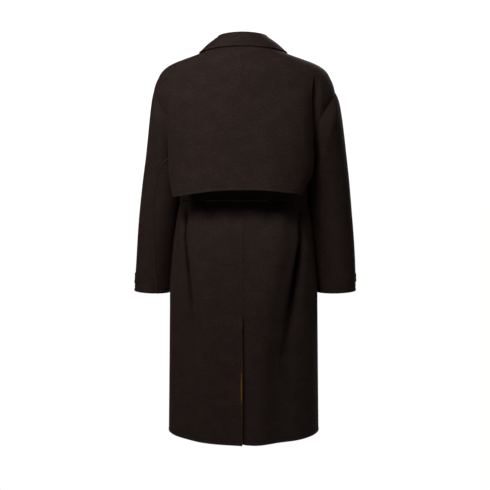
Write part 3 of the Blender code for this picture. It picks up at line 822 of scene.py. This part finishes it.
def flap():
    """The storm flap, from the neck and shoulder seams to its free hem over the waist."""
    place = rows_down(FLAP, FLAP_TOP, len(FLAP) - 1)
    share = grid_lines(FLAP_WIDTH)[None, :]
    row = row_at(FLAP, place)
    left = np.arcsin(np.minimum(row.edge_left, 1.0)) - seam_angle(row)
    right = np.arcsin(np.minimum(row.edge_right, 1.0)) - seam_angle(row)
    angle = left - (left + right) * share
    points = moved_out(FLAP, place, angle, FLAP_REST + CLOTH)
    x, z = points[..., 0], points[..., 2]
    aside = np.abs(2 * share - 1)
    fuller = FLAP_FULL_PEAK * aside**2 * (1 - aside**4) * smooth((place - FLAP_FULL_ROW) / FLAP_FULL_FADE)
    rolled = np.maximum(1 - edges_of(points).last / EDGE_ROLL_WIDTH, 0.0) ** 2
    rolled = EDGE_ROLL * rolled * smooth((EDGE_ROLL_TOP - z) / EDGE_ROLL_FADE)
    turned = smooth((CORNER_FROM_X - x) / CORNER_REACH) * smooth((CORNER_FROM_Z - z) / CORNER_FADE)
    points = points + point(0.0, FLAP_FULLNESS * fuller - rolled - CORNER_TURN * turned, 0.0)
    edges = edges_of(points)
    loose = smooth((GROOVE_TOP - z) / GROOVE_FADE)
    height = felled(edges.foot) + (felled(edges.first) + felled(edges.last)) * loose
    height = height + creased(x, z, FLAP_CREASES)
    height = height + shoulder_ridge(place, (np.pi / 2 - np.abs(angle)) * row.side_x)
    return sewn("storm_flap", raised(points, height), Edges(loose, loose, 1.0, 0.0))


def ring_points(side, turn):
    """Points of every sleeve ring at these turns, which run from the outer point round the back."""
    sine, cosine = np.sin(turn), np.cos(turn)
    place = ARMHOLE_TOP + (ARMHOLE_FOOT - ARMHOLE_TOP) * (1 - cosine) / 2
    angle = armhole_angle(place)
    armhole = moved_out(BODY, place, np.where(sine > 0, angle, np.pi - angle), SEAM) * np.array((side, 1, 1))
    rings = [armhole]
    for ring in SLEEVE[1:]:
        outer_x = ring.left_x if side > 0 else ring.right_x
        x = (outer_x + ring.inner_x + cosine * (outer_x - ring.inner_x)) / 2
        y = ring.middle_y + sine * np.where(sine > 0, ring.back, ring.front)
        z = (ring.outer_z + ring.inner_z + cosine * (ring.outer_z - ring.inner_z)) / 2
        rings.append(point(side * x, y, z))
    return np.array(rings)


def sleeve_points(side, place, turn):
    """Points of a sleeve between its rings, a row for each place."""
    rings = ring_points(side, turn)
    share, near = around(len(rings), place[:, 0])
    line = np.arange(len(place))
    return through(share[:, None, None], *(rings[index, line] for index in near))


def filled(fullness, place, aside):
    """How far a sleeve's fullness stands out at these places, so far aside of its middle."""
    return fullness.height * swell(place - fullness.ring, fullness.rings) * swell(aside, fullness.width)


def sleeve_piece(side, upper):
    """One of a sleeve's two pieces: the upper one outside, or the under one next to the body."""
    last = len(SLEEVE) - 1
    place = (last - grid_lines(SLEEVE_LENGTH) * (last + SLEEVE_TUCK))[:, None]
    share = grid_lines(UPPER_WIDTH if upper else UNDER_WIDTH)[None, :]
    if side < 0:
        share = 1 - share
    ring = row_at(SLEEVE, place)
    gap = SEAM / 2 / ring.back
    back_seam = np.radians(ring.left_seam if side > 0 else ring.right_seam)
    front_seam = np.radians(FRONT_SEAM) + 0 * place
    start, end = (front_seam, back_seam) if upper else (back_seam, front_seam + 2 * np.pi)
    turn = start + gap + (end - start - 2 * gap) * share
    points = sleeve_points(side, place, turn)
    edges = edges_of(points)
    round_it = SLEEVE_REACH * (np.mod(turn + np.pi, 2 * np.pi) - np.pi)
    height = felled(edges.foot) + creased(round_it, points[..., 2], SLEEVE_CREASES)
    height = height + filled(SLEEVE_HEAD, place, round_it)
    height = height - TUCK_SINK * smooth(-place / SLEEVE_TUCK)
    height = height + filled(UNDERARM, place, np.abs(round_it) - SLEEVE_REACH * np.pi)
    if upper:
        back_edge = edges.last if side > 0 else edges.first
        lapped = smooth((place - SLEEVE_LAP_FROM) / SLEEVE_LAP_RINGS)
        height = height + SLEEVE_LAP * felled(back_edge) * lapped
    behind = np.where(np.sin(turn) > 0, 1 - smooth(place / ARMHOLE_FULL_RINGS), 0.0)
    fullness = armhole_fullness((1 - np.cos(turn)) / 2, behind)
    points = raised(points, height) - flap_groove(side, points) + fullness
    name = f"sleeve_{'upper' if upper else 'under'}_{hand(side)}"
    return sewn(name, points, Edges(0.0, 0.0, 1.0, 0.0))


def strap(side):
    """A cuff strap that lies on the upper sleeve."""
    tip = STRAP_TIP_LEFT if side > 0 else STRAP_TIP_RIGHT
    share = grid_lines(STRAP_LENGTH)[None, :]
    along = grid_lines(STRAP_WIDTH)[:, None]
    if side < 0:
        share = 1 - share
    turn = np.radians(FRONT_SEAM + (tip - FRONT_SEAM) * share) + 0 * along
    taper = STRAP_TAPER * smooth((share - STRAP_TAPER_FROM) / STRAP_TAPER_RANGE)
    level = 0.5 + (along - 0.5) * (1 - taper)
    place = STRAP_FOOT + (STRAP_TOP - STRAP_FOOT) * level
    rings = ring_points(side, turn)
    near_share, near = around(len(rings), place)
    line, column = np.indices(place.shape)
    base = through(near_share[..., None], *(rings[index, line, column] for index in near))
    points = raised(base, np.full(place.shape, STRAP_REST + STRAP_CLOTH))
    edges = edges_of(points)
    tip_edge = edges.last if side > 0 else edges.first
    height = STRAP_FELL * (felled(edges.foot) + felled(edges.head) + felled(tip_edge))
    ends = (0.0, STRAP_FELL) if side > 0 else (STRAP_FELL, 0.0)
    free = Edges(*ends, STRAP_FELL, STRAP_FELL)
    return sewn(f"cuff_strap_{hand(side)}", raised(points, height), free, cloth=STRAP_CLOTH)


def collar():
    """The collar, stand and leaf in one, from one front end round the back to the other."""
    angle = COLLAR_END * (1 - 2 * grid_lines(COLLAR_LENGTH))
    sine, cosine = np.sin(angle), np.cos(angle)
    aside = point(sine, cosine, 0.0)
    upward = np.array((0.0, 0.0, 1.0))
    foot = shell(BODY, np.zeros_like(angle), angle) - aside * (CLOTH + 2 * SEAM) + upward * (2 * SEAM)
    roll_y = np.where(cosine > 0, ROLL_BACK_Y, ROLL_FRONT_Y)
    roll_z = np.where(cosine > 0, ROLL_BACK_Z, ROLL_FRONT_Z)
    roll = point(ROLL_X * sine, roll_y * cosine, ROLL_SIDE_Z + (roll_z - ROLL_SIDE_Z) * cosine**2)
    edge = moved_out(BODY, np.full_like(angle, LEAF_EDGE), angle, COLLAR_REST)
    stand_top = roll - (aside + upward) * COLLAR_ROLL
    leaf_top = roll + (aside - upward) * COLLAR_ROLL
    middle = (leaf_top + edge) / 2 + (aside + upward) * COLLAR_LEAF_BULGE / math.sqrt(2)
    profile = np.array([foot, (foot + stand_top) / 2, stand_top, roll, leaf_top, middle, edge])
    place = (1 - grid_lines(COLLAR_WIDTH, COLLAR_STEP)) * (len(profile) - 1)
    share, near = around(len(profile), place)
    points = through(share[:, None, None], *(profile[index] for index in near))
    edges = edges_of(points)
    height = felled(edges.foot) + felled(edges.first) + felled(edges.last)
    return sewn("collar", raised(points, height), Edges(1.0, 1.0, 1.0, 0.0))


def belt():
    """The belt, from one side of its knot round the waist to the other."""
    along = grid_lines(BELT_WIDTH)[:, None]
    share = grid_lines(BELT_LENGTH)[None, :]
    place = BELT_FOOT_ROW + (BELT_TOP_ROW - BELT_FOOT_ROW) * along
    angle = (np.pi - BELT_GAP / row_at(BODY, place).side_x) * (1 - 2 * share)
    base = shell(BODY, place, angle)
    x, behind = base[..., 0], base[..., 1] > 0
    past_lap = smooth((x - OVERLAP - BELT_OVER_LAP) / LAP_RISE)
    fronts = np.minimum(lap_lift(x), LAP_LIFT * (1 - past_lap))
    lift = BELT_REST + CLOTH + np.where(behind, 0.0, fronts)
    points = moved_out(BODY, place, angle, lift)
    edges = edges_of(points)
    height = felled(edges.foot) + felled(edges.head)
    # Ochre only over the middle stretch behind: a painted highlight where light reaches the lip
    lip_and_highlight = (edges.foot < BELT_LIP) & (np.abs(x - BELT_LIP_HIGHLIGHT_X) < BELT_LIP_HIGHLIGHT_REACH) & behind
    return sewn("belt", raised(points, height), Edges(1.0, 1.0, 1.0, 1.0), lip_and_highlight)


def belt_tail(tail):
    """A loose end of the belt, hanging from the knot down the front."""
    along = grid_lines(TAIL_LENGTH)[:, None]
    share = grid_lines(TAIL_WIDTH)[None, :]
    place = tail.foot_row + (TAIL_TOP_ROW - tail.foot_row) * along
    x = tail.foot_x + (tail.top_x - tail.foot_x) * along + (share - 0.5) * TAIL_WIDTH
    angle = np.pi - angle_of(row_at(BODY, place), x)
    rest = TAIL_REST + tail.lift * (1 - smooth((1 - along - TAIL_CROSSED) / TAIL_SETTLE))
    points = moved_out(BODY, place, angle, rest + 0 * x)
    edges = edges_of(points)
    height = felled(edges.first) + felled(edges.last) + felled(edges.foot)
    return sewn(f"belt_tail_{tail.hand}", raised(points, height), Edges(1.0, 1.0, 1.0, 0.0))


def belt_knot():
    """The belt's knot: one turn of the belt, pleated lengthways, that wraps the crossing and tucks in."""
    top, foot = BODY[BELT_TOP_ROW], BODY[BELT_FOOT_ROW]
    belt_face = top.front_y + LAP_LIFT + BELT_REST + CLOTH + SEAM
    turn = np.radians(KNOT_WRAP) * (2 * grid_lines(KNOT_RUN, KNOT_STEP)[:, None] - 1)
    share = grid_lines(KNOT_SPAN, KNOT_STEP)[None, :] - 0.5
    over = np.maximum(np.cos(turn), 0.0) ** KNOT_FLATNESS
    tuck = 1 - KNOT_TUCK * np.abs(2 * share) ** KNOT_TUCK_POWER
    wave = 2 * np.pi * KNOT_PLEATS * share + KNOT_PLEAT_SHIFT + KNOT_PLEAT_TWIST * np.sin(turn)
    pleats = KNOT_PLEAT_DEPTH * np.cos(wave) * over * tuck
    waist = KNOT_WAIST + KNOT_FLARE * np.abs(np.sin(turn)) ** KNOT_FLARE_POWER
    x = KNOT_WIDTH * waist * share + KNOT_SKEW * np.sin(turn)
    y = -belt_face - CLOTH - (KNOT_DEPTH - CLOTH - KNOT_PLEAT_DEPTH) * over * tuck - pleats
    z = (top.side_z + foot.side_z) / 2 + KNOT_HEIGHT / 2 * np.sin(turn)
    return sewn("belt_knot", point(x, y, z), Edges(0.0, 0.0, 0.0, 0.0))


def linear(code):
    """A hex sRGB colour as a linear one."""
    values = [int(code[start : start + 2], 16) / 255 for start in (1, 3, 5)]
    return tuple(v / 12.92 if v <= 0.04045 else ((v + 0.055) / 1.055) ** 2.4 for v in values) + (1.0,)


def add(tree, kind, inputs=(), **settings):
    """Adds a node with its settings. An input takes a value or another node's output."""
    made = tree.nodes.new(kind)
    for name, value in settings.items():
        setattr(made, name, value)
    for name, value in dict(inputs).items():
        if isinstance(value, bpy.types.NodeSocket):
            tree.links.new(value, made.inputs[name])
        else:
            made.inputs[name].default_value = value
    return made


# The nap runs down the cloth. Its fibre bundles are really about 1 mm wide, and are drawn at 2.4 mm so that
# they show at the render's size. Soft patches of a few centimetres lie over them.
NAP_WIDTH = 0.0024
NAP_LENGTH = 0.0048
NAP_RELIEF = 0.0008
PATCH_SIZE = 0.035


def felted_wool(name, ground, pale, dark):
    """Double-faced wool with a short felted nap: matt, with pale fibres in a darker ground."""
    material = bpy.data.materials.new(name)
    material.use_nodes = True
    tree = material.node_tree
    tree.nodes.clear()
    cloth = add(tree, "ShaderNodeUVMap", uv_map="cloth").outputs["UV"]
    nap = add(tree, "ShaderNodeMapping", {"Vector": cloth, "Scale": (1 / NAP_WIDTH, 1 / NAP_LENGTH, 1)})
    fibres = add(
        tree, "ShaderNodeTexNoise",
        {"Vector": nap.outputs["Vector"], "Scale": 1.0, "Detail": 3.0, "Roughness": 0.65},
        noise_dimensions="2D",
    )
    patch = add(
        tree, "ShaderNodeTexNoise",
        {"Vector": cloth, "Scale": 1 / PATCH_SIZE, "Detail": 2.0},
        noise_dimensions="2D",
    )
    mixed = add(
        tree, "ShaderNodeMix", {"Factor": 0.2, "A": fibres.outputs["Fac"], "B": patch.outputs["Fac"]}
    )
    colours = add(tree, "ShaderNodeValToRGB", {"Fac": mixed.outputs["Result"]})
    ramp = colours.color_ramp
    ramp.elements[0].position, ramp.elements[0].color = 0.25, linear(dark)
    ramp.elements[1].position, ramp.elements[1].color = 0.75, linear(pale)
    ramp.elements.new(0.5).color = linear(ground)
    relief = add(
        tree, "ShaderNodeBump", {"Height": fibres.outputs["Fac"], "Strength": 0.35, "Distance": NAP_RELIEF}
    )
    finish = add(
        tree, "ShaderNodeBsdfPrincipled",
        {
            "Base Color": colours.outputs["Color"],
            "Normal": relief.outputs["Normal"],
            "Roughness": 0.92,
            "Specular IOR Level": 0.25,
            "Sheen Weight": 0.12,
            "Sheen Roughness": 0.5,
            "Sheen Tint": linear("#8a6450"),
        },
    )
    add(tree, "ShaderNodeOutputMaterial", {"Surface": finish.outputs["BSDF"]})
    return material


def white_to_camera(tree, dim, white):
    """One finish for the camera's own rays, and another for the light that reaches the cloth."""
    seen = add(tree, "ShaderNodeLightPath").outputs["Is Camera Ray"]
    return add(tree, "ShaderNodeMixShader", {0: seen, 1: dim.outputs[0], 2: white.outputs[0]}).outputs[0]


brown_wool = felted_wool("dark_brown_felted_wool", "#322521", "#46372f", "#261b17")
ochre_wool = felted_wool("ochre_felted_wool", "#8a5c1c", "#a8732a", "#704812")

for side in (1, -1):
    back_panel(side)
    front_panel(side)
    sleeve_piece(side, True)
    sleeve_piece(side, False)
    strap(side)
flap()
collar()
belt()
for tail in TAILS:
    belt_tail(tail)
belt_knot()

# Floor and sky. The floor lies well below the hem. Both are white to the camera but dim to the cloth.
FLOOR_SIZE = 30
FLOOR_LEVEL = -1.42
SKY_GLOW = 0.02
SKY_WHITE = 1.1
scene = bpy.context.scene
floor_mesh = bmesh.new()
bmesh.ops.create_grid(floor_mesh, x_segments=1, y_segments=1, size=FLOOR_SIZE)
bmesh.ops.translate(floor_mesh, verts=floor_mesh.verts[:], vec=(0, 0, FLOOR_LEVEL))
floor_data = bpy.data.meshes.new("studio_floor")
floor_mesh.to_mesh(floor_data)
floor_mesh.free()
floor = bpy.data.objects.new("studio_floor", floor_data)
scene.collection.objects.link(floor)
paper = bpy.data.materials.new("white_studio_paper")
paper.use_nodes = True
sweep = paper.node_tree
sweep.nodes.clear()
matt = add(sweep, "ShaderNodeBsdfDiffuse", {"Color": (0.5, 0.5, 0.5, 1)})
lit = add(sweep, "ShaderNodeEmission", {"Strength": 1.0})
add(sweep, "ShaderNodeOutputMaterial", {"Surface": white_to_camera(sweep, matt, lit)})
floor_data.materials.append(paper)

world = bpy.data.worlds.new("studio")
scene.world = world
world.use_nodes = True
sky = world.node_tree
sky.nodes.clear()
dim = add(sky, "ShaderNodeBackground", {"Color": (1, 1, 1, 1), "Strength": SKY_GLOW})
white = add(sky, "ShaderNodeBackground", {"Color": (1, 1, 1, 1), "Strength": SKY_WHITE})
add(sky, "ShaderNodeOutputWorld", {"Surface": white_to_camera(sky, dim, white)})

# Soft square lamps: width in metres, power in watts
Lamp = namedtuple("Lamp", "name place aim size power")
LAMPS = (
    Lamp("key", (0.35, 1.35, 0.75), (0.0, 0.1, -0.3), 0.5, 7.6),
    Lamp("top", (0.60, 1.20, 1.00), (0.0, 0.1, -0.3), 0.4, 6.4),
    Lamp("left", (1.10, 0.90, 0.30), (0.0, 0.1, -0.3), 0.5, 2.8),
    Lamp("right", (-1.20, 1.20, 0.50), (0.0, 0.1, -0.3), 0.6, 0.7),
    Lamp("front", (-1.2, -2.2, 0.9), (0.0, -0.1, -0.4), 1.4, 40.0),
)
for lamp in LAMPS:
    light = bpy.data.lights.new(lamp.name, "AREA")
    light.size = lamp.size
    light.energy = lamp.power
    stand = bpy.data.objects.new(lamp.name, light)
    stand.location = lamp.place
    stand.rotation_euler = (Vector(lamp.aim) - Vector(lamp.place)).to_track_quat("-Z", "Y").to_euler()
    scene.collection.objects.link(stand)

# The camera stands behind the coat and looks a little down. Its lens is given in the photo's pixels.
PHOTO_PIXELS = 490
LENS_PIXELS = 948.7
SENSOR = 36.0
CAMERA_PLACE = (-0.0019, 2.6, -0.311)
CAMERA_TILT = 4.836
camera_data = bpy.data.cameras.new("camera")
camera_data.sensor_width = SENSOR
camera_data.lens = SENSOR * LENS_PIXELS / PHOTO_PIXELS
camera = bpy.data.objects.new("camera", camera_data)
camera.location = CAMERA_PLACE
camera.rotation_euler = (math.radians(90 - CAMERA_TILT), 0, math.pi)
scene.collection.objects.link(camera)
scene.camera = camera
scene.view_settings.view_transform = "Standard"
